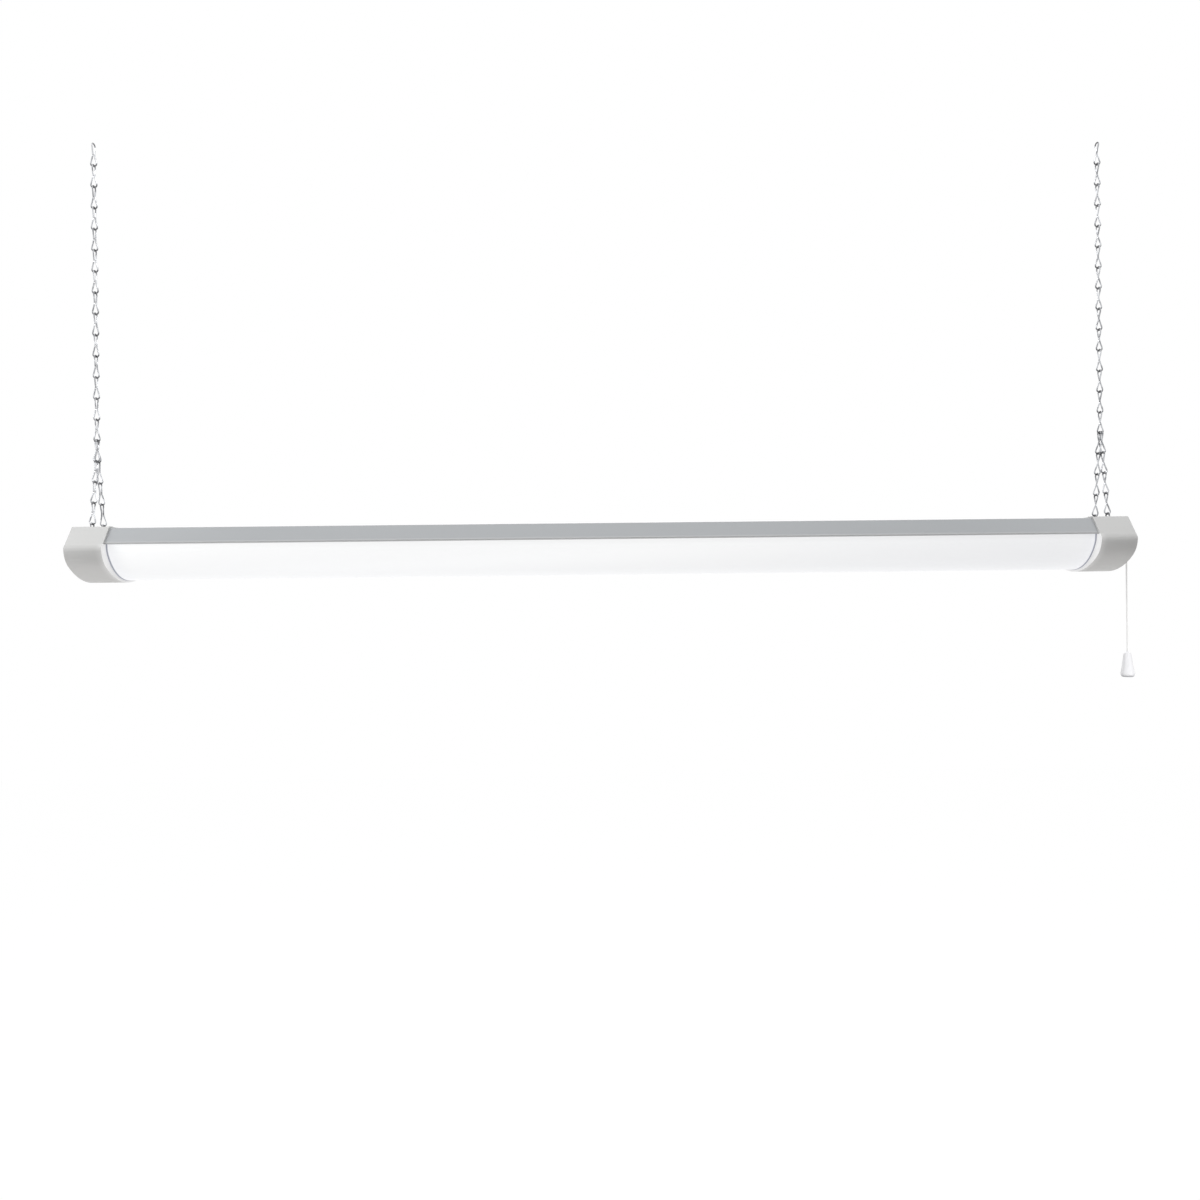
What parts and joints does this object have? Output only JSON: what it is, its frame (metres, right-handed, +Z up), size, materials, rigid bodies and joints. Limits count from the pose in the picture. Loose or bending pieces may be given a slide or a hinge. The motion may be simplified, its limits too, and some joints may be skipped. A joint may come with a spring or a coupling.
{
  "type": "hanging shop light",
  "caption": "Linear shop light with frosted lens, grey channel housing and moulded end caps, hung level from two figure-8 link chains with bridles, switched by a pull cord with a bell grip.",
  "frame": {"origin": "midway between the hook points inside the top loops of the two chains' top links", "axes": "+X along the light towards the pull cord's end, +Y to the back, +Z up"},
  "size_m": [1.2142, 0.114, 0.6357],
  "materials": {
    "housing_paint": "satin",
    "tray_white": "gloss",
    "board_white": "matte",
    "chip_yellow": "satin",
    "lens_frost": "frosted",
    "cap_grey": "satin",
    "pin_steel": "brushed",
    "screw_steel": "zinc",
    "case_steel": "zinc",
    "circuit_green": "matte",
    "component_dark": "matte",
    "block_white": "matte",
    "wire_black": "satin",
    "wire_white": "satin",
    "bushing_black": "matte",
    "guide_grey": "satin",
    "slider_white": "satin",
    "cord_white": "woven",
    "spring_steel": "bright",
    "bell_white": "satin",
    "switch_black": "matte",
    "contact_brass": "bright",
    "lever_white": "satin",
    "chain_zinc": "zinc"
  },
  "bodies": {
    "hooks_root": {"left_top_link": "chain_zinc", "right_top_link": "chain_zinc"},
    "left_second": {"left_second_link": "chain_zinc"},
    "left_chain": {"left_chain_links": "chain_zinc", "left_bridle_front_leg": "chain_zinc", "left_bridle_rear_leg": "chain_zinc"},
    "right_second": {"right_second_link": "chain_zinc"},
    "right_chain": {"right_chain_links": "chain_zinc", "right_bridle_front_leg": "chain_zinc", "right_bridle_rear_leg": "chain_zinc"},
    "fixture": {"housing": "housing_paint", "led_tray": "tray_white", "led_board_front": "board_white", "led_board_rear": "board_white", "led_chips_front": "chip_yellow", "led_chips_rear": "chip_yellow", "lens": "lens_frost", "left_end_cap": "cap_grey", "right_end_cap": "cap_grey", "left_hanger_pin": "pin_steel", "right_hanger_pin": "pin_steel", "tray_screws": "screw_steel", "driver_screws": "screw_steel", "left_cap_screws": "screw_steel", "right_cap_screws": "screw_steel", "driver_case": "case_steel", "driver_lid": "case_steel", "driver_board": "circuit_green", "driver_components": "component_dark", "terminal_block": "block_white", "wire_live": "wire_black", "wire_switched": "wire_black", "wire_neutral": "wire_white", "led_leads": "wire_black", "cord_inlet_bushing": "bushing_black", "pull_guide": "guide_grey", "pull_spring": "spring_steel", "switch_case": "switch_black", "switch_cover": "switch_black", "switch_contacts": "contact_brass", "lever_pin": "pin_steel"},
    "slider": {"pull_slider": "slider_white", "pull_cord_stub": "cord_white"},
    "pull": {"pull_cord": "cord_white", "pull_bell": "bell_white"},
    "lever": {"switch_lever": "lever_white"}
  },
  "joints": [
    {"name": "swing_across", "type": "hinge", "parent": "hooks_root", "child": "left_second", "pos_m": [-0.591, 0, -0.0257], "axis": [1, 0, 0], "range_deg": [-25, 25]},
    {"name": "swing_along", "type": "hinge", "parent": "left_second", "child": "left_chain", "pos_m": [-0.591, 0, -0.0485], "axis": [0, 1, 0], "range_deg": [-10, 10]},
    {"name": "fixture_level", "type": "hinge", "parent": "left_chain", "child": "fixture", "pos_m": [-0.591, 0, -0.46516], "axis": [0, 1, 0], "range_deg": [-10, 10]},
    {"name": "right_swing_across", "type": "hinge", "parent": "hooks_root", "child": "right_second", "pos_m": [0.591, 0, -0.0257], "axis": [1, 0, 0], "range_deg": [-25, 25]},
    {"name": "right_swing_along", "type": "hinge", "parent": "right_second", "child": "right_chain", "pos_m": [0.591, 0, -0.0485], "axis": [0, 1, 0], "range_deg": [-10, 10]},
    {"name": "pull_slide", "type": "slide", "parent": "fixture", "child": "slider", "axis": [0, 0, -1], "range_m": [0, 0.006], "stiffness_N_per_m": 800, "springref_m": -0.002, "deforming": ["pull_spring"]},
    {"name": "lever_tilt", "type": "hinge", "parent": "fixture", "child": "lever", "pos_m": [0.579, -0.025, -0.47316], "axis": [0, 1, 0], "range_deg": [0, 28.75]},
    {"name": "pull_swing", "type": "hinge", "parent": "slider", "child": "pull", "pos_m": [0.6054, -0.025, -0.48916], "axis": [0, 1, 0], "range_deg": [-30, 12]}
  ],
  "couplings": [
    {"joint": "fixture_level", "follows": "swing_along", "ratio": -1},
    {"joint": "right_swing_across", "follows": "swing_across", "ratio": 1},
    {"joint": "right_swing_along", "follows": "swing_along", "ratio": 1},
    {"joint": "lever_tilt", "follows": "pull_slide", "rad_per_m": 83.333}
  ]
}
